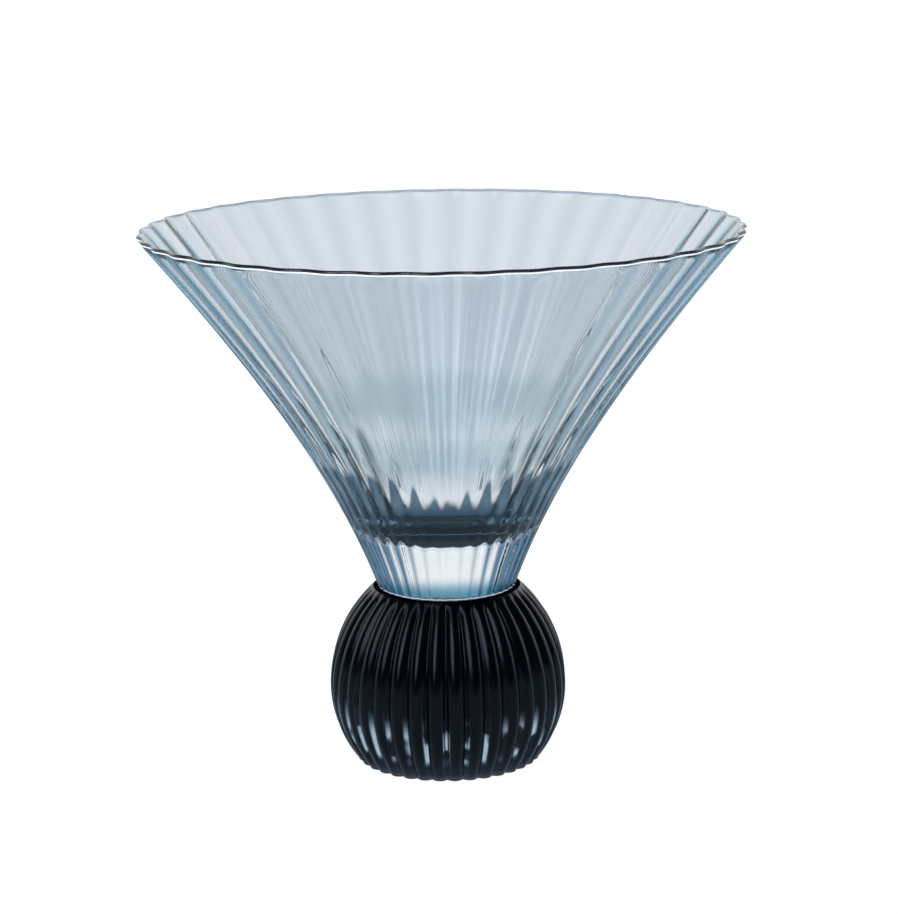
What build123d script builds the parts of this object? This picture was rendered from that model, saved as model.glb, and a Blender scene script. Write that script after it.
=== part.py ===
from build123d import *
import math
import os

# A cocktail glass in three pieces: a ribbed, flared bowl with a thick solid bottom, a solid ribbed ball that is both
# stem and foot, and the thin bond between them. The origin is the middle of the ball's flat underside, +Z is up.

# Driving dimensions, in millimetres and degrees
rim_diameter = 118.0          # outside, over the rib crests
overall_height = 107.0
rim_wall = 1.0                # wall at the lip, square to the wall
lower_wall = 2.4              # wall at the level of the cavity floor
floor_thickness = 11.6        # solid glass under the cavity
floor_corner = 15.0           # radius between the cavity floor and the wall
foot_diameter = 27.4          # outside of the bowl where it stands on the ball, before its edge is rounded
foot_edge = 0.5               # rounding of that edge
foot_flare = 0.36             # outward run of the bowl's side per unit of height, at its foot
rim_flare = 0.83              # the same at the rim
ball_height = 35.2            # from the underside to the flat top
ball_diameter = 47.2          # over the rib crests at the widest level
ball_widest_height = 15.0     # level of the widest place above the underside
ball_base_diameter = 36.2     # across the flat underside, before its edge is rounded
ball_edge = 0.6               # rounding of the edge that stands on the table
ball_collar = 0.95            # flat ring of the ball's top left showing around the bowl's foot
bond_thickness = 0.2
bond_inset = 0.7              # the bond stops this far inside the bowl's foot
bowl_rib_count = 40
outer_rib_depth = 0.8         # crest to valley, outside, at the rim
inner_rib_depth = 0.65        # crest to valley, inside, at the rim
ball_rib_count = 36
ball_rib_depth = 1.2          # crest to valley at the ball's widest level
rib_fade_height = 1.8         # height over which the ball's ribs rise out of its smooth top edge
ball_turn = 5.9               # the ball's ribs stand turned from the bowl's ribs by this angle
lip_end_angle = 80.0          # the lip's rounding stops here, and a narrow flat is left on top
wall_levels = 9               # levels that set the outline of the bowl's wall
ball_levels = 7               # levels that set each half of the ball's outline
arc_levels = 5                # levels that set a rounding

# Worked out from the driving dimensions
foot_radius = foot_diameter / 2
ball_radius = ball_diameter / 2
ball_base_radius = ball_base_diameter / 2
ball_top_radius = foot_radius + ball_collar
bowl_base = ball_height + bond_thickness
floor_level = bowl_base + floor_thickness

# The lip is an arc as wide as the wall, and the bowl's side ends where it touches that arc
foot_lean = math.degrees(math.atan(foot_flare))
rim_lean = math.degrees(math.atan(rim_flare))
lip_radius = rim_wall / 2
lip_centre_radius = rim_diameter / 2 - lip_radius
lip_centre_level = overall_height - lip_radius * math.sin(math.radians(lip_end_angle))
side_radius = lip_centre_radius + lip_radius * math.cos(math.radians(rim_lean))
side_level = lip_centre_level - lip_radius * math.sin(math.radians(rim_lean))
side_height = side_level - bowl_base


def bowl_outline(level):
    """Outside crest radius of the bowl and its slope: a cubic set by the two radii and the two flares."""
    share = (level - bowl_base) / side_height
    foot_run = foot_flare * side_height
    rim_run = rim_flare * side_height
    growth = side_radius - foot_radius
    bend = 3 * growth - 2 * foot_run - rim_run
    curl = foot_run + rim_run - 2 * growth
    radius = foot_radius + foot_run * share + bend * share**2 + curl * share**3
    slope = (foot_run + 2 * bend * share + 3 * curl * share**2) / side_height
    return radius, slope


def cavity_outline(level):
    """Inside crest radius of the bowl, with the wall measured square to the outside."""
    radius, slope = bowl_outline(level)
    share = (level - floor_level) / (side_level - floor_level)
    wall = lower_wall + (rim_wall - lower_wall) * share
    return radius - wall * math.sqrt(1 + slope**2)


def ball_outline(level):
    """Crest radius of the ball: two half-ellipses that meet at the widest level and end at the two flats."""
    rise = level - ball_widest_height
    reach = ball_height - ball_widest_height if rise > 0 else ball_widest_height
    end_radius = ball_top_radius if rise > 0 else ball_base_radius
    half_axis = reach / math.sqrt(1 - (end_radius / ball_radius) ** 2)
    return ball_radius * math.sqrt(1 - (rise / half_axis) ** 2)


def wave_ring(radius, depth, level):
    """Closed wave round the bowl's axis, with a crest on +X: crest arcs and valley arcs that meet at half depth."""
    half_span = 90 / bowl_rib_count
    joint_radius = radius - depth / 2
    arcs = []
    for step in range(2 * bowl_rib_count):
        angle = 2 * step * half_span
        middle_radius = radius - depth * (step % 2)
        start = Vector(joint_radius, 0, level).rotate(Axis.Z, angle - half_span)
        middle = Vector(middle_radius, 0, level).rotate(Axis.Z, angle)
        end = Vector(joint_radius, 0, level).rotate(Axis.Z, angle + half_span)
        arcs.append(Edge.make_three_point_arc(start, middle, end))
    return Wire(arcs)


def outer_ring(radius, level):
    return wave_ring(radius, outer_rib_depth * radius * 2 / rim_diameter, level)


def inner_ring(radius, level):
    return wave_ring(radius, inner_rib_depth * radius * 2 / rim_diameter, level)


def lobed_ring(radius, depth, level):
    """Closed ring of outward lobes on the ball, one for each rib, that meet in sharp valleys."""
    rib_pitch = 360 / ball_rib_count
    lobes = []
    for rib in range(ball_rib_count):
        crest_angle = ball_turn + rib * rib_pitch
        start = Vector(radius - depth, 0, level).rotate(Axis.Z, crest_angle - rib_pitch / 2)
        crest = Vector(radius, 0, level).rotate(Axis.Z, crest_angle)
        end = Vector(radius - depth, 0, level).rotate(Axis.Z, crest_angle + rib_pitch / 2)
        lobes.append(Edge.make_three_point_arc(start, crest, end))
    return Wire(lobes)


def ball_ring(radius, level):
    return lobed_ring(radius, ball_rib_depth * radius / ball_radius, level)


def spread(low, high, count):
    """Evenly spaced values from low to high, both ends included."""
    return [low + (high - low) * step / (count - 1) for step in range(count)]


def arc_rings(ring, centre_radius, centre_level, arc_radius, start_angle, end_angle):
    """Rings along an arc of the outline, angles measured up from straight outwards."""
    rings = []
    for angle in spread(math.radians(start_angle), math.radians(end_angle), arc_levels):
        radius = centre_radius + arc_radius * math.cos(angle)
        rings.append(ring(radius, centre_level + arc_radius * math.sin(angle)))
    return rings


def make_bowl_outside():
    """Ribbed flared body with its foot's edge and the outer half of its lip rounded."""
    edge_radius = foot_radius + foot_edge * (foot_flare - math.sqrt(1 + foot_flare**2))
    edge_end = bowl_base + foot_edge * (1 - math.sin(math.radians(foot_lean)))
    edge = arc_rings(outer_ring, edge_radius, bowl_base + foot_edge, foot_edge, -90, -foot_lean)
    side = [outer_ring(bowl_outline(level)[0], level) for level in spread(edge_end, side_level, wall_levels)]
    lip = arc_rings(outer_ring, lip_centre_radius, lip_centre_level, lip_radius, -rim_lean, lip_end_angle)
    return Solid.make_loft(side).fuse(Solid.make_loft(edge), Solid.make_loft(lip))


def make_cavity():
    """Ribbed hollow of the bowl: flat floor, large round corner, side and the inner half of the lip."""
    corner_lean = math.degrees(math.atan(bowl_outline(floor_level + floor_corner / 2)[1]))
    corner_top = floor_level + floor_corner * (1 - math.sin(math.radians(corner_lean)))
    corner_centre = cavity_outline(corner_top) - floor_corner * math.cos(math.radians(corner_lean))
    mouth_level = lip_centre_level + lip_radius * math.sin(math.radians(rim_lean))
    corner = arc_rings(inner_ring, corner_centre, floor_level + floor_corner, floor_corner, -90, -corner_lean)
    side = [inner_ring(cavity_outline(level), level) for level in spread(corner_top, mouth_level, wall_levels)]
    mouth = arc_rings(inner_ring, lip_centre_radius, lip_centre_level, lip_radius,
                      180 - rim_lean, 180 - lip_end_angle)
    return Solid.make_loft(side).fuse(Solid.make_loft(corner), Solid.make_loft(mouth))


def make_bowl():
    return make_bowl_outside().cut(make_cavity())


def make_ball_foot():
    """Solid ball, flat above and below, ribbed up to the smooth edge of its top."""
    edge_radius = ball_outline(ball_edge)
    edge = arc_rings(ball_ring, edge_radius - ball_edge, ball_edge, ball_edge, -90, 0)
    lower = spread(ball_edge, ball_widest_height, ball_levels)[:-1]
    upper = spread(ball_widest_height, ball_height - rib_fade_height, ball_levels)
    side = [ball_ring(ball_outline(level), level) for level in lower + upper]
    side.append(lobed_ring(ball_outline(ball_height), 0, ball_height))
    return Solid.make_loft(side).fuse(Solid.make_loft(edge))


def make_bond_layer():
    """Thin disc that fills the gap between the ball's flat top and the bowl's flat foot."""
    disc = Solid.make_cylinder(foot_radius - bond_inset, bond_thickness)
    return disc.translate((0, 0, ball_height))


os.makedirs("parts", exist_ok=True)
export_step(make_bowl(), "parts/bowl.step")
export_step(make_ball_foot(), "parts/ball_foot.step")
export_step(make_bond_layer(), "parts/bond_layer.step")
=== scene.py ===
import bmesh
import bpy
import math
from mathutils import Matrix, Vector


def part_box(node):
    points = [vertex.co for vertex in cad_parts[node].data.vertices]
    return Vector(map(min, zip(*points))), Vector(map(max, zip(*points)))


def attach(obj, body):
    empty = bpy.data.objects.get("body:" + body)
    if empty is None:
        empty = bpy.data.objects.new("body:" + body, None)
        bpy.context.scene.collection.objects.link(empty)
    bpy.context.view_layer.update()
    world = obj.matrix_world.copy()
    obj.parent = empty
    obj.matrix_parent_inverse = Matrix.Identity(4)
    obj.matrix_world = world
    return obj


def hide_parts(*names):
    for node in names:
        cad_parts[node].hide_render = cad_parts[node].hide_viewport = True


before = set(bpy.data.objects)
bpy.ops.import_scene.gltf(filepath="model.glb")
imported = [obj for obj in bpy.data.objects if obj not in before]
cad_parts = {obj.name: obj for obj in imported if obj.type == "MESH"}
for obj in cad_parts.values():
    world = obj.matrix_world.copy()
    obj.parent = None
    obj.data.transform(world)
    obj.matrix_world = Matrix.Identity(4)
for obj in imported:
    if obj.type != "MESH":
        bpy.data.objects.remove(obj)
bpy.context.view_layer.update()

print("frame loaded:", sorted(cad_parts))

mm = 0.001
bowlLow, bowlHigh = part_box("bowl")
ballLow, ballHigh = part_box("ball_foot")
bondLow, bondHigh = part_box("bond_layer")

# ribs run up the bowl and the ball
ribs = {
    "columns": 14,                                      # mesh columns across one rib
    "mergeGap": 0.001 * mm,
    "shareGap": 1e-7,                                   # rib depths closer than this are the same
}


def leaveEditing():
    if bpy.context.mode != "OBJECT":
        bpy.ops.object.mode_set(mode="OBJECT")


def makeActive(piece):
    leaveEditing()
    bpy.ops.object.select_all(action="DESELECT")
    piece.select_set(True)
    bpy.context.view_layer.objects.active = piece


def stepsBetween(low, high, steps):
    return [low + (high - low) * step / steps for step in range(1, steps + 1)]


def roundCorner(centre, radius, fromAngle, toAngle, steps):
    # points of an arc in the profile's plane, both ends included
    corner = []
    for angle in [fromAngle] + stepsBetween(fromAngle, toAngle, steps):
        corner.append((centre[0] + radius * math.cos(angle), centre[1] + radius * math.sin(angle)))
    return corner


def withRibs(places, share):
    # the same places, each with how deep its valleys are as a share of its radius
    return [(radius, height, share) for radius, height in places]


def drawProfile(name, outline):
    # one point, extruded from place to place along the outline
    leaveEditing()
    bpy.ops.object.select_all(action="DESELECT")
    bpy.ops.mesh.primitive_plane_add(size=mm, location=(0, 0, 0))
    piece = bpy.context.active_object
    piece.name = name
    piece.data.name = name
    bpy.ops.object.mode_set(mode="EDIT")
    bpy.ops.mesh.select_all(action="SELECT")
    bpy.ops.mesh.merge(type="CENTER")
    bpy.ops.mesh.select_all(action="SELECT")
    bpy.ops.transform.translate(value=(outline[0][0], 0, outline[0][1]))
    for here, there in zip(outline, outline[1:]):
        run = (there[0] - here[0], 0, there[1] - here[1])
        bpy.ops.mesh.extrude_region_move(TRANSFORM_OT_translate={"value": run})
    grid = bmesh.from_edit_mesh(piece.data)
    ribShare = grid.verts.layers.float.new("ribShare")
    grid.verts.ensure_lookup_table()
    for point, place in zip(grid.verts, outline):
        point[ribShare] = place[2]
    bmesh.update_edit_mesh(piece.data)
    return piece


def spinOneRib(piece, ribCount):
    # a slice of the round one rib wide, with its crest on +X and a valley at each side
    ribAngle = math.tau / ribCount
    bpy.ops.mesh.select_all(action="SELECT")
    bpy.ops.transform.rotate(value=-ribAngle / 2, orient_axis="Z", center_override=(0, 0, 0))
    bpy.ops.mesh.spin(steps=ribs["columns"], angle=ribAngle, center=(0, 0, 0), axis=(0, 0, 1))
    bpy.ops.mesh.select_all(action="SELECT")
    bpy.ops.mesh.remove_doubles(threshold=ribs["mergeGap"])


def selectColumn(piece, share, angle, halfColumn):
    # the points of that rib depth, at that angle to either side of the crest
    grid = bmesh.from_edit_mesh(piece.data)
    ribShare = grid.verts.layers.float["ribShare"]
    for point in grid.verts:
        away = abs(math.atan2(point.co.y, point.co.x)) - angle
        onAxis = point.co.xy.length < ribs["mergeGap"]
        point.select = abs(point[ribShare] - share) < ribs["shareGap"] and abs(away) < halfColumn and not onAxis
    grid.select_flush_mode()
    bmesh.update_edit_mesh(piece.data)


def softValley(across):
    # a wave, as round in the valley as on the crest
    return (1 - math.cos(math.pi * across)) / 2


def sharpValley(across):
    # round lobes that meet in a crease
    return across**2


def pressRib(piece, ribCount, shares, valley):
    # each column is drawn in towards the axis, the valleys most, so that the slice bulges between them
    halfRib = math.pi / ribCount
    for share in shares:
        for column in range(ribs["columns"] // 2):
            across = 1 - 2 * column / ribs["columns"]   # 1 at the valley, 0 at the crest
            selectColumn(piece, share, across * halfRib, halfRib / ribs["columns"])
            drawIn = 1 - share * valley(across)
            bpy.ops.transform.resize(value=(drawIn, drawIn, 1), center_override=(0, 0, 0))


def arrayRibs(piece, ribCount, turn):
    # the slice repeated round the axis and closed into one skin
    leaveEditing()
    guide = bpy.data.objects.new("ribGuide", None)
    bpy.context.scene.collection.objects.link(guide)
    guide.rotation_euler = (0, 0, math.tau / ribCount)
    bpy.context.view_layer.update()
    around = piece.modifiers.new("around", "ARRAY")
    around.use_relative_offset = False
    around.use_object_offset = True
    around.offset_object = guide
    around.count = ribCount
    around.use_merge_vertices = True
    around.use_merge_vertices_cap = True
    around.merge_threshold = ribs["mergeGap"]
    makeActive(piece)
    bpy.ops.object.modifier_apply(modifier=around.name)
    bpy.data.objects.remove(guide)
    bpy.ops.object.mode_set(mode="EDIT")
    bpy.ops.mesh.select_all(action="SELECT")
    bpy.ops.mesh.remove_doubles(threshold=ribs["mergeGap"])
    bpy.ops.transform.rotate(value=-math.radians(turn), orient_axis="Z", center_override=(0, 0, 0))
    bpy.ops.mesh.normals_make_consistent(inside=False)
    leaveEditing()
    bpy.ops.object.shade_smooth()


def makeRibbedRound(name, outline, ribCount, valley=softValley, turn=0.0):
    piece = drawProfile(name, outline)
    spinOneRib(piece, ribCount)
    pressRib(piece, ribCount, sorted({place[2] for place in outline} - {0}), valley)
    arrayRibs(piece, ribCount, turn)
    print(name, "has", len(piece.data.polygons), "faces")
    return piece


# the bowl: flared wall, rounded lip, rounded floor and the solid glass under it
bowl = {
    "ribCount": 40,
    "footRadius": 13.7 * mm,
    "footFlare": 0.36,                                  # run per rise at the foot
    "rimFlare": 0.83,                                   # run per rise at the rim
    "rimWall": 1.0 * mm,
    "lowerWall": 2.4 * mm,
    "floorThickness": 11.6 * mm,
    "floorCorner": 15.0 * mm,
    "floorDish": 0.5 * mm,                              # how far the middle of the floor sinks
    "footEdge": 0.5 * mm,                               # rounding of the foot's edge
    "outerRibDepth": 0.8 * mm,                          # at the rim, and in proportion to the radius below it
    "innerRibDepth": 0.65 * mm,
    "wallRings": 34,
    "lipRings": 10,
    "cornerRings": 14,
    "floorRings": 6,
    "edgeRings": 5,
    "footRings": 4,
}

# the lip is half a circle as wide as the wall, and the outside ends where it touches that circle
bowlBase = bowlLow.z
rimLean = math.atan(bowl["rimFlare"])
lipRadius = bowl["rimWall"] / 2
lipCentre = (bowlHigh.x - lipRadius, bowlHigh.z - lipRadius)
rimRadius = lipCentre[0] + lipRadius * math.cos(rimLean)
rimLevel = lipCentre[1] - lipRadius * math.sin(rimLean)
floorLevel = bowlBase + bowl["floorThickness"]


def bowlOutside(height):
    # crest radius and slope of the outside: a cubic set by two radii and two flares
    rise = rimLevel - bowlBase
    share = (height - bowlBase) / rise
    footRun = bowl["footFlare"] * rise
    rimRun = bowl["rimFlare"] * rise
    growth = rimRadius - bowl["footRadius"]
    bend = 3 * growth - 2 * footRun - rimRun
    curl = footRun + rimRun - 2 * growth
    radius = bowl["footRadius"] + footRun * share + bend * share**2 + curl * share**3
    slope = (footRun + 2 * bend * share + 3 * curl * share**2) / rise
    return radius, slope


def bowlInside(height):
    # the same side, moved in square to itself by the wall
    radius, slope = bowlOutside(height)
    share = (height - floorLevel) / (rimLevel - floorLevel)
    wall = bowl["lowerWall"] + (bowl["rimWall"] - bowl["lowerWall"]) * share
    return radius - wall * math.sqrt(1 + slope**2)


def bowlOutline():
    # foot, outside, lip, inside and floor, from the axis round to the axis again
    edge = bowl["footEdge"]
    footLean = math.atan(bowl["footFlare"])
    edgeRadius = bowl["footRadius"] + edge * (bowl["footFlare"] - 1 / math.cos(footLean))
    footRadii = stepsBetween(0, edgeRadius, bowl["footRings"])[:-1]
    outside = [(0, bowlBase)] + [(radius, bowlBase) for radius in footRadii]
    outside += roundCorner((edgeRadius, bowlBase + edge), edge, -math.pi / 2, -footLean, bowl["edgeRings"])
    levels = stepsBetween(outside[-1][1], rimLevel, bowl["wallRings"])[:-1]
    outside += [(bowlOutside(level)[0], level) for level in levels]

    lip = roundCorner(lipCentre, lipRadius, -rimLean, math.pi - rimLean, bowl["lipRings"])

    corner = bowl["floorCorner"]
    floorLean = math.atan(bowlOutside(floorLevel + corner / 2)[1])
    cornerTop = floorLevel + corner * (1 - math.sin(floorLean))
    levels = stepsBetween(lip[-1][1], cornerTop, bowl["wallRings"])[:-1]
    inside = [(bowlInside(level), level) for level in levels]
    floorRadius = bowlInside(cornerTop) - corner * math.cos(floorLean)
    cornerCentre = (floorRadius, floorLevel + corner)
    inside += roundCorner(cornerCentre, corner, -floorLean, -math.pi / 2, bowl["cornerRings"])
    for radius in stepsBetween(floorRadius, 0, bowl["floorRings"]):
        dish = bowl["floorDish"] * (1 - (radius / floorRadius) ** 2) ** 2
        inside.append((radius, floorLevel - dish))

    # ribs deep outside, shallower inside, changing over the lip
    outerShare = bowl["outerRibDepth"] / bowlHigh.x
    innerShare = bowl["innerRibDepth"] / bowlHigh.x
    outline = withRibs(outside, outerShare)
    for step, place in enumerate(lip):
        outline += withRibs([place], outerShare + (innerShare - outerShare) * step / bowl["lipRings"])
    return outline + withRibs(inside, innerShare)


# the ball that is stem and foot
ball = {
    "ribCount": 36,
    "radius": 23.6 * mm,
    "widestHeight": 15.0 * mm,
    "baseRadius": 18.1 * mm,
    "collar": 0.95 * mm,                                # flat ring of its top left around the bowl's foot
    "edge": 0.6 * mm,                                   # rounding of the edge it stands on
    "ribDepth": 1.2 * mm,                               # at the widest place
    "ribFade": 1.8 * mm,                                # height over which the ribs rise below the top
    "turn": 5.9,                                        # degrees, its ribs against the bowl's
    "lowerRings": 16,
    "upperRings": 22,
    "fadeRings": 5,
    "edgeRings": 5,
    "flatRings": 5,
}


def ballSide(height):
    # crest radius: two half ellipses that meet at the widest level and end at the two flats
    rise = height - ball["widestHeight"]
    reach = ballHigh.z - ball["widestHeight"] if rise > 0 else ball["widestHeight"]
    endRadius = bowl["footRadius"] + ball["collar"] if rise > 0 else ball["baseRadius"]
    halfAxis = reach / math.sqrt(1 - (endRadius / ball["radius"]) ** 2)
    return ball["radius"] * math.sqrt(1 - (rise / halfAxis) ** 2)


def ballOutline():
    # underside, edge, side and top, from the axis round to the axis again
    edge = ball["edge"]
    edgeRadius = ballSide(edge) - edge
    under = [(0, 0)] + [(radius, 0) for radius in stepsBetween(0, edgeRadius, ball["flatRings"])[:-1]]
    under += roundCorner((edgeRadius, edge), edge, -math.pi / 2, 0, ball["edgeRings"])
    widest = ball["widestHeight"]
    fadeStart = ballHigh.z - ball["ribFade"]
    levels = stepsBetween(edge, widest, ball["lowerRings"])
    levels += stepsBetween(widest, fadeStart, ball["upperRings"])
    side = [(ballSide(level), level) for level in levels]
    fade = [(ballSide(level), level) for level in stepsBetween(fadeStart, ballHigh.z, ball["fadeRings"])]
    topRadius = fade[-1][0]
    top = [(radius, ballHigh.z) for radius in stepsBetween(topRadius, 0, ball["flatRings"])]

    fullShare = ball["ribDepth"] / ball["radius"]
    outline = withRibs(under + side, fullShare)
    for step, place in enumerate(fade, start=1):
        outline += withRibs([place], fullShare * (1 - step / ball["fadeRings"]))
    return outline + withRibs(top, 0)


# the bond between them
bond = {
    "ribCount": 40,                                     # none show, it only has as many slices as the bowl
    "inset": 0.5 * mm,
    "clearance": 0.01 * mm,                             # keeps its faces off the glass above and below
    "rings": 4,
    "bulgeRings": 6,
    "levelGap": 0.02 * mm,                              # faces this close to a bonded level are bonded
    "flat": 0.99,                                       # and so nearly level
}


def bondOutline():
    low = bondLow.z + bond["clearance"]
    high = bondHigh.z - bond["clearance"]
    half = (high - low) / 2
    radius = bowl["footRadius"] - bond["inset"] - half
    under = [(0, low)] + [(ring, low) for ring in stepsBetween(0, radius, bond["rings"])[:-1]]
    rounded = roundCorner((radius, low + half), half, -math.pi / 2, math.pi / 2, bond["bulgeRings"])
    top = [(ring, high) for ring in stepsBetween(radius, 0, bond["rings"])]
    return withRibs(under + rounded + top, 0)


ribbedBowl = makeRibbedRound("ribbed_bowl", bowlOutline(), bowl["ribCount"])
ribbedBall = makeRibbedRound("ribbed_ball", ballOutline(), ball["ribCount"], sharpValley, ball["turn"])
bondFilm = makeRibbedRound("bond_film", bondOutline(), bond["ribCount"])
print("glass modelled")


class Value:
    # a socket that maths can be written with
    def __init__(self, shader, socket):
        self.shader = shader
        self.socket = socket

    def maths(self, operation, first, second):
        return self.shader.add("ShaderNodeMath", {"operation": operation}, {0: first, 1: second})

    def __add__(self, other):
        return self.maths("ADD", self, other)

    def __radd__(self, other):
        return self.maths("ADD", other, self)

    def __sub__(self, other):
        return self.maths("SUBTRACT", self, other)

    def __rsub__(self, other):
        return self.maths("SUBTRACT", other, self)

    def __mul__(self, other):
        return self.maths("MULTIPLY", self, other)

    def __rmul__(self, other):
        return self.maths("MULTIPLY", other, self)


class Shader:
    # the nodes of one material, or of the world
    def __init__(self, owner, outputKind="ShaderNodeOutputMaterial"):
        self.owner = owner
        owner.use_nodes = True
        self.tree = owner.node_tree
        self.tree.nodes.clear()
        self.output = self.tree.nodes.new(outputKind)

    def add(self, kind, settings=None, sockets=None, out=0):
        node = self.tree.nodes.new(kind)
        for name, value in (settings or {}).items():
            setattr(node, name, value)
        for name, value in (sockets or {}).items():
            if isinstance(value, Value):
                self.tree.links.new(value.socket, node.inputs[name])
            else:
                node.inputs[name].default_value = value
        return Value(self, node.outputs[out])

    def finish(self, surface, volume=None):
        self.tree.links.new(surface.socket, self.output.inputs["Surface"])
        if volume:
            self.tree.links.new(volume.socket, self.output.inputs["Volume"])
        return self.owner


bowlGlass = {
    "ior": 1.5,
    "absorb": (0.35, 0.60, 0.72, 1),                    # colour that passes
    "density": 9.0,                                     # per metre
    "clear": 0.97,                                      # the rest is a fine haze
    "valley": (0.74, 0.795, 0.835, 1),                  # colour of the wall seen square on, between the ribs
    "crest": (0.66, 0.72, 0.765, 1),                    # and where they are thick
    "low": (0.54, 0.64, 0.67, 1),                       # darker in a band lower down the wall
    "lowStart": (bowlBase + 38.0 * mm, bowlBase + 33.0 * mm),
    "lowEnd": (bowlBase + 22.0 * mm, bowlBase + 29.0 * mm),
    "slant": (0.69, 0.735, 0.755, 1),                   # seen at a slant: painted shade, partly the longer path through the tint
    "slantFacing": (0.22, 0.50),                        # 0 is seen square on, 1 edge on
    "flank": (0.09, 0.27, 0.37, 1),                     # where a rib turns away: more painted shade
    "flankFacing": (0.46, 0.80),
    "edge": (0.006, 0.03, 0.15, 1),                     # and further round still: painted shade, darkest
    "edgeFacing": (0.76, 0.93),
    "foot": (1, 1, 1, 1),                               # the solid bottom, seen square on
    "footFlank": (0.008, 0.05, 0.13, 1),                # and edge on: painted shade
    "footFacing": (0.20, 0.46),
    "footLow": (0.13, 0.33, 0.45, 1),                   # close to the ball: painted shade of the dark ball below it
    "footLowLevel": (bowlBase + 5.0 * mm, bowlBase + 1.0 * mm),
    "wallLevel": (floorLevel - 1.0 * mm, floorLevel + 4.0 * mm),   # the wall's colour fades in
    "pale": (1, 1, 1, 1),                               # painted light: lightest just over the cavity's floor
    "paleLow": (bowlBase + 19.0 * mm, bowlBase + 22.0 * mm),
    "paleHigh": (bowlBase + 25.0 * mm, bowlBase + 31.0 * mm),
    "paleFacing": (0.24, 0.42),
    "paintedShade": (0.02, 0.052, 0.085, 1),                    # painted shade: a dark belt level with the cavity's floor
    "bandLow": (floorLevel + 1.0 * mm, floorLevel + 2.2 * mm),
    "bandHigh": floorLevel + 6.0 * mm,
    "bandRise": 8.0 * mm,                               # it reaches higher where the wall turns away
    "bandRiseFacing": (0.15, 0.45),
    "bandScallop": 1.0 * mm,                            # and along the valleys
    "bandBlur": 1.8 * mm,
    "bandFacing": (0.07, 0.15),                         # viewing angle: the painted shade belt and the painted light zone show at a slant
    "bandReach": (bowl["footRadius"] - 1.6 * mm, bowl["footRadius"] - 1.0 * mm),   # only outside
    "bandLean": 0.4,                                    # run per rise of the wall there
    "lip": (0.42, 0.50, 0.56, 1),
    "lipLevel": (rimLevel - 0.1 * mm, bowlHigh.z),
    "roughness": 0.0,
    "smear": 0.02,                                      # extra roughness where the skin is dull
    "gleam": (1, 1, 1, 1),                              # colour of what it reflects
    "ripple": 0.03,
}

# matt, glowing edge of the bowl's foot and of the outer half of its lip: a painted highlight
glowingEdge = {
    "footHeight": 0.45 * mm,                            # above the bowl's base
    "lipLow": bowlHigh.z - 0.90 * mm,
    "lipHigh": bowlHigh.z - 0.58 * mm,
    "outward": 0.5,                                     # least cosine between its faces and straight outwards
    "bright": (0.95, 0.97, 1.0, 1),
    "dull": (0.60, 0.70, 0.80, 1),
    "grain": 300.0,
    "roughness": 0.5,
    "paintedGlow": 0.45,                                      # how strongly the painted highlight glows
}

bondGlue = {
    "ior": 1.5,
    "absorb": (0.9, 0.95, 0.95, 1),
    "density": 5.0,
    "clear": 1.0,
    "roughness": 0.0,
    "smear": 0.0,
    "gleam": (1, 1, 1, 1),
    "ripple": 0.03,
}

ballGlass = {
    "ior": 1.3,
    "absorb": (0.12, 0.28, 0.42, 1),
    "density": 120.0,
    "clear": 1.0,
    "stain": (0.006, 0.007, 0.01, 1),                   # near-black stain all over
    "window": (1, 1, 1, 1),                             # painted light: the stain cleared between the ribs, low on the ball, so light shows through
    "windowLow": (3.2 * mm, 5.0 * mm),
    "windowHigh": (9.0 * mm, 15.0 * mm),
    "windowShare": (0.48, 0.78),                        # 0 at a crest, 1 in a valley
    "windowFacing": (0.34, 0.50),                       # viewing angle: they show square on, not edge on
    "glint": (0.44, 0.56),                              # painted glints: patches of them made metallic, to look like light reflected inside the glass
    "glintScale": 210.0,
    "glintShare": (0.66, 0.92),                         # along the middle of the valleys
    "roughness": 0.13,
    "smear": 0.08,
    "gleam": (0.85, 0.90, 1.0, 1),
    "ripple": 0.004,
}

# fine unevenness of all the glass
skin = {
    "rippleScale": 220.0,
    "rippleHeight": 0.1 * mm,
    "cloudScale": 60.0,
    "clear": (1, 1, 1, 1),
}


def rampUp(shader, value, start, full):
    return shader.add("ShaderNodeMapRange", {"interpolation_type": "SMOOTHSTEP"}, {
        "Value": value, "From Min": start, "From Max": full})


def mixColours(shader, share, first, second):
    return shader.add("ShaderNodeMix", {"data_type": "RGBA"}, {0: share, 6: first, 7: second}, out=2)


def ribWave(shader, place, ribCount, turn):
    # 0 along the crests, 1 along the valleys
    along = shader.add("ShaderNodeSeparateXYZ", {}, {"Vector": place}, out=0)
    across = shader.add("ShaderNodeSeparateXYZ", {}, {"Vector": place}, out=1)
    angle = shader.add("ShaderNodeMath", {"operation": "ARCTAN2"}, {0: across, 1: along})
    wave = shader.add("ShaderNodeMath", {"operation": "COSINE"}, {0: (angle - math.radians(turn)) * ribCount})
    return 0.5 - wave * 0.5


def distanceOut(shader, place):
    # distance from the glass's axis
    flat = shader.add("ShaderNodeVectorMath", {"operation": "MULTIPLY"}, {0: place, 1: (1, 1, 0)})
    return shader.add("ShaderNodeVectorMath", {"operation": "LENGTH"}, {0: flat}, out=1)


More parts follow.
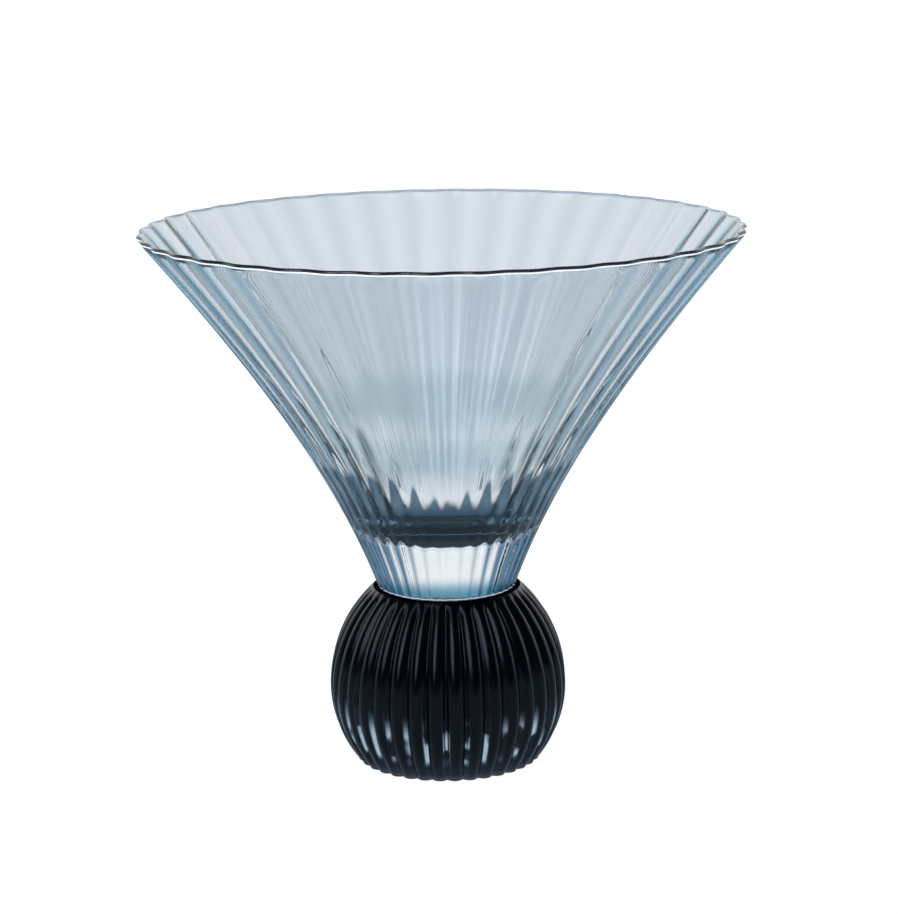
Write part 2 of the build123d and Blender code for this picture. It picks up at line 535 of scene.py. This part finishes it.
def bowlColour(shader, glass, place):
    # stripes with the ribs, deeper colour where the glass is seen edge on (partly painted shade), and a clear
    # solid bottom with painted shade near the ball.
    # The painted shade belt and the painted light zone go by the viewing angle too, which keeps them off the
    # far wall
    height = shader.add("ShaderNodeSeparateXYZ", {}, {"Vector": place}, out=2)
    facing = shader.add("ShaderNodeLayerWeight", {}, {"Blend": 0.5}, out=1)
    wave = ribWave(shader, place, bowl["ribCount"], 0)

    wall = mixColours(shader, wave, glass["crest"], glass["valley"])
    low = rampUp(shader, height, *glass["lowStart"]) * rampUp(shader, height, *glass["lowEnd"])
    wall = mixColours(shader, low, wall, glass["low"])
    # painted shade: darker as the glass turns edge on, partly the longer path through its tint
    for part in ("slant", "flank", "edge"):
        wall = mixColours(shader, rampUp(shader, facing, *glass[part + "Facing"]), wall, glass[part])

    # painted shade: the solid bottom darker close to the ball and where seen edge on
    foot = mixColours(shader, rampUp(shader, height, *glass["footLowLevel"]), glass["foot"], glass["footLow"])
    foot = mixColours(shader, rampUp(shader, facing, *glass["footFacing"]), foot, glass["footFlank"])
    colour = mixColours(shader, rampUp(shader, height, *glass["wallLevel"]), foot, wall)

    # painted light: a clear zone over the cavity's floor, only where seen at a slant
    slanted = rampUp(shader, facing, *glass["bandFacing"])
    pale = rampUp(shader, height, *glass["paleLow"]) * (1 - rampUp(shader, height, *glass["paleHigh"]))
    pale = pale * slanted * (1 - rampUp(shader, facing, *glass["paleFacing"]))
    colour = mixColours(shader, pale, colour, glass["pale"])

    # painted shade: a dark belt on the outer wall level with the cavity's floor, only where seen at a slant
    bandRise = rampUp(shader, facing, *glass["bandRiseFacing"]) * glass["bandRise"]
    bandTop = glass["bandHigh"] + bandRise + wave * glass["bandScallop"]
    reach = distanceOut(shader, place) - (height - bowlBase) * glass["bandLean"]
    outside = rampUp(shader, reach, *glass["bandReach"]) * slanted
    underTop = rampUp(shader, height, bandTop + glass["bandBlur"], bandTop)
    paintedShade = rampUp(shader, height, *glass["bandLow"]) * underTop
    colour = mixColours(shader, paintedShade * outside, colour, glass["paintedShade"])
    return {"Base Color": mixColours(shader, rampUp(shader, height, *glass["lipLevel"]), colour, glass["lip"])}


def ballColour(shader, glass, place):
    # a dark stain, with painted light in clear places low down between the ribs and painted glints in some of
    # them
    height = shader.add("ShaderNodeSeparateXYZ", {}, {"Vector": place}, out=2)
    facing = shader.add("ShaderNodeLayerWeight", {}, {"Blend": 0.5}, out=1)
    wave = ribWave(shader, place, ball["ribCount"], ball["turn"])
    valley = rampUp(shader, wave, *glass["windowShare"])
    low = rampUp(shader, height, *glass["windowLow"])
    high = rampUp(shader, height, *glass["windowHigh"])
    turned = rampUp(shader, facing, *glass["windowFacing"])
    # painted light: clear windows low between the ribs, only where seen square on
    window = valley * low * (1 - high) * (1 - turned)
    # painted glints: metallic patches along the middle of the windows
    line = rampUp(shader, wave, *glass["glintShare"])
    patch = shader.add("ShaderNodeTexNoise", {}, {"Vector": place, "Scale": glass["glintScale"], "Detail": 1.0})
    return {"Base Color": mixColours(shader, window, glass["stain"], glass["window"]),
            "Metallic": window * line * rampUp(shader, patch, *glass["glint"])}


def makeGlass(name, glass, paint=None, bonded=False):
    # a bonded face has glass on both sides of it, so light crosses it without bending or bouncing
    shader = Shader(bpy.data.materials.new(name))
    place = shader.add("ShaderNodeTexCoord", out=3)
    ripple = shader.add("ShaderNodeTexNoise", {}, {
        "Vector": place, "Scale": skin["rippleScale"], "Detail": 2.0})
    cloud = shader.add("ShaderNodeTexNoise", {}, {"Vector": place, "Scale": skin["cloudScale"], "Detail": 3.0})
    roughness = glass["roughness"] + cloud * glass["smear"]
    bump = shader.add("ShaderNodeBump", {}, {
        "Strength": glass["ripple"], "Distance": skin["rippleHeight"], "Height": ripple})
    colours = paint(shader, glass, place) if paint and not bonded else {"Base Color": skin["clear"]}
    surface = shader.add("ShaderNodeBsdfPrincipled", {}, {
        **colours, "IOR": 1.0 if bonded else glass["ior"],
        "Transmission Weight": 1.0 if bonded else glass["clear"],
        "Specular Tint": glass["gleam"], "Roughness": roughness, "Normal": bump})
    volume = shader.add("ShaderNodeVolumeAbsorption", {}, {
        "Color": glass["absorb"], "Density": glass["density"]})
    return shader.finish(surface, volume)


def makeGlowingEdge(name, edge):
    # matt ring that glows with its own colour: a painted highlight
    shader = Shader(bpy.data.materials.new(name))
    place = shader.add("ShaderNodeTexCoord", out=3)
    grain = shader.add("ShaderNodeTexNoise", {}, {"Vector": place, "Scale": edge["grain"], "Detail": 2.0})
    colour = mixColours(shader, grain, edge["dull"], edge["bright"])
    return shader.finish(shader.add("ShaderNodeBsdfPrincipled", {}, {
        "Base Color": colour, "Roughness": edge["roughness"], "Emission Color": colour,
        "Emission Strength": edge["paintedGlow"]}))


def isUnderBowl(face):
    return face.center.xy.length < bowl["footRadius"] - bond["inset"]


def dress(piece, glass, paint, node, bondedLevels):
    # the glass all over, and on flat faces at the bonded levels the same glass with no air beyond it
    piece.data.materials.clear()
    piece.data.materials.append(makeGlass(piece.name + "Glass", glass, paint))
    piece.data.materials.append(makeGlass(piece.name + "Bonded", glass, bonded=True))
    for face in piece.data.polygons:
        isLevel = any(abs(face.center.z - level) < bond["levelGap"] for level in bondedLevels)
        face.material_index = int(isLevel and isUnderBowl(face) and abs(face.normal.z) > bond["flat"])
    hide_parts(node)
    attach(piece, "root")


def paintEdgeHighlights(piece, edge):
    # a matt, glowing edge round the foot and along the outer half of the lip: painted highlight
    piece.data.materials.append(makeGlowingEdge(piece.name + "Ground", edge))
    for face in piece.data.polygons:
        outward = face.normal.xy.dot(face.center.xy.normalized())
        isFoot = face.center.z < bowlBase + edge["footHeight"] and not isUnderBowl(face)
        isLip = edge["lipLow"] < face.center.z < edge["lipHigh"] and outward > edge["outward"]
        if isFoot or isLip:
            face.material_index = 2


dress(ribbedBowl, bowlGlass, bowlColour, "bowl", [bowlBase])
dress(ribbedBall, ballGlass, ballColour, "ball_foot", [ballHigh.z])
dress(bondFilm, bondGlue, None, "bond_layer", [bondLow.z, bondHigh.z])
paintEdgeHighlights(ribbedBowl, glowingEdge)
print("materials set")


# studio: a pale table lit from below as well, a bright backdrop behind it, a dim room and a tall soft lamp
studio = {
    "floorSize": 6.0,
    "floorColour": (0.3, 0.3, 0.3, 1),
    "floorRoughness": 0.9,
    "floorGlow": 0.95,
    "glowColour": (1, 1, 1, 1),
    "roomColour": (0.03, 0.06, 0.115, 1),
    "underColour": (0.34, 0.47, 0.58, 1),               # what shines back from below
    "horizon": (0.0, 0.02),
    "backdropColour": (1.05, 1.05, 1.05, 1),
    "backdropSide": (-0.1, 0.15),                       # how far round it reaches, 1 is straight behind
    "backdropTop": (0.42, 0.62),                        # how high it reaches, 1 is straight above
    "lampAzimuth": -28.0,                               # degrees from straight in front, to the right
    "lampElevations": (30.0, 44.0),
    "lampColour": (3.1, 3.2, 3.8, 1),
    "lampEdge": math.cos(math.radians(22)),
    "lampFull": math.cos(math.radians(8)),
}

bpy.ops.object.select_all(action="DESELECT")
bpy.ops.mesh.primitive_plane_add(size=studio["floorSize"], location=(0, 0, 0))
floor = bpy.context.active_object
floor.name = "studio_floor"
floorShader = Shader(bpy.data.materials.new("palePaper"))
floor.data.materials.append(floorShader.finish(floorShader.add(
    "ShaderNodeBsdfPrincipled", {}, {
        "Base Color": studio["floorColour"], "Roughness": studio["floorRoughness"], "Specular IOR Level": 0.0,
        "Emission Color": studio["glowColour"], "Emission Strength": studio["floorGlow"]})))
floor.visible_glossy = False


def pointing(azimuth, elevation):
    # direction from the object, azimuth from straight in front of it round to the right
    turn = math.radians(azimuth)
    rise = math.radians(elevation)
    return Vector((math.sin(turn) * math.cos(rise), -math.cos(turn) * math.cos(rise), math.sin(rise)))


world = bpy.data.worlds.new("studioWorld")
bpy.context.scene.world = world
sky = Shader(world, "ShaderNodeOutputWorld")
direction = sky.add("ShaderNodeTexCoord", out=0)
towardsBack = sky.add("ShaderNodeSeparateXYZ", {}, {"Vector": direction}, out=1)
towardsTop = sky.add("ShaderNodeSeparateXYZ", {}, {"Vector": direction}, out=2)
behind = rampUp(sky, towardsBack, *studio["backdropSide"])
backdrop = behind * (1 - rampUp(sky, towardsTop, *studio["backdropTop"]))
light = mixColours(sky, backdrop, studio["roomColour"], studio["backdropColour"])
for lampElevation in studio["lampElevations"]:
    towardsLamp = sky.add("ShaderNodeVectorMath", {"operation": "DOT_PRODUCT"}, {
        0: direction, 1: pointing(studio["lampAzimuth"], lampElevation)}, out=1)
    light = mixColours(sky, rampUp(sky, towardsLamp, studio["lampEdge"], studio["lampFull"]),
                       light, studio["lampColour"])
light = mixColours(sky, rampUp(sky, towardsTop, *studio["horizon"]), studio["underColour"], light)
sky.finish(sky.add("ShaderNodeBackground", {}, {"Color": light, "Strength": 1.0}))


camera = {
    "distance": 553 * mm,
    "elevation": 12.55,                                 # degrees above the horizon
    "azimuth": 2.1,
    "roll": -0.8,
    "lookAt": (0.8 * mm, 0, 61.1 * mm),
    "lens": 110.3,
    "sensor": 36.0,
    "nearest": 10 * mm,
}

away = pointing(camera["azimuth"], camera["elevation"])
cameraData = bpy.data.cameras.new("camera")
cameraData.lens = camera["lens"]
cameraData.sensor_width = camera["sensor"]
cameraData.clip_start = camera["nearest"]
viewer = bpy.data.objects.new("camera", cameraData)
bpy.context.scene.collection.objects.link(viewer)
viewer.location = Vector(camera["lookAt"]) + away * camera["distance"]
aim = (-away).to_track_quat("-Z", "Y").to_matrix().to_4x4()
roll = Matrix.Rotation(math.radians(camera["roll"]), 4, "Z")
viewer.matrix_world = Matrix.Translation(viewer.location) @ aim @ roll
bpy.context.scene.camera = viewer
bpy.context.scene.view_settings.view_transform = "Standard"
bpy.context.scene.view_settings.look = "None"
